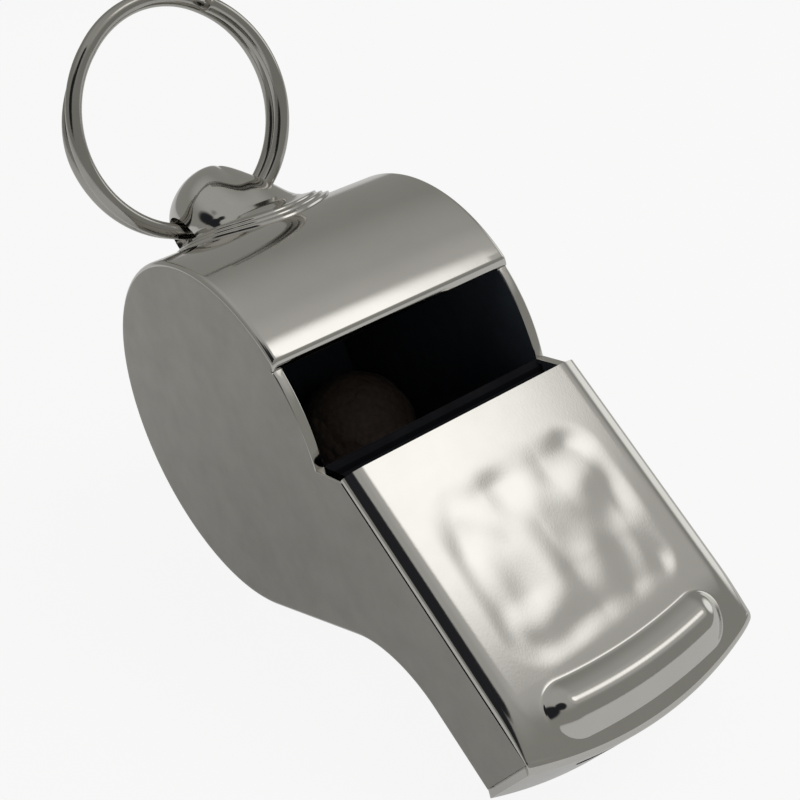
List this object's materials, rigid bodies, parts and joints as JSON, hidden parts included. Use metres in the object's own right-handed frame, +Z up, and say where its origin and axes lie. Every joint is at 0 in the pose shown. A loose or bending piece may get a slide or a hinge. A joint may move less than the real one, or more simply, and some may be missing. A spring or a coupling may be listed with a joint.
{
  "type": "sports whistle",
  "caption": "Sheet-metal pea whistle: round barrel, flat side plates, shouldered mouthpiece cover with tooth bead, cork pea, and a swinging split ring in a domed lanyard loop.",
  "frame": {"origin": "on the floor below the barrel's axis, half way across the body", "axes": "+X to the right side plate, -Y to the tip of the mouthpiece, +Z up; the whistle stands on its barrel and on the lower edge of the tip"},
  "size_m": [0.0223, 0.0536, 0.0417],
  "materials": {
    "bright_nickel": "polished nickel plate on sheet metal and wire",
    "satin_nickel": "finely ground satin nickel",
    "cork": "dark granular cork"
  },
  "bodies": {
    "whistle_body": {"barrel_band": "bright_nickel", "left_side_plate": "satin_nickel", "right_side_plate": "satin_nickel", "mouthpiece_cover": "bright_nickel", "windway_floor": "satin_nickel", "lanyard_loop": "bright_nickel"},
    "ring": {"split_ring": "bright_nickel"},
    "pea": {"cork_pea": "cork"}
  },
  "joints": [
    {"name": "ring_swing", "type": "hinge", "parent": "whistle_body", "child": "ring", "pos_m": [-0.00018, 0.01141, 0.02568], "axis": [-0.9563, -0.0967, -0.2759], "range_deg": [-28, 58]},
    {"name": "pea_orbit", "type": "hinge", "parent": "whistle_body", "child": "pea", "pos_m": [0, 0, 0.014], "axis": [1, 0, 0], "continuous": true}
  ]
}
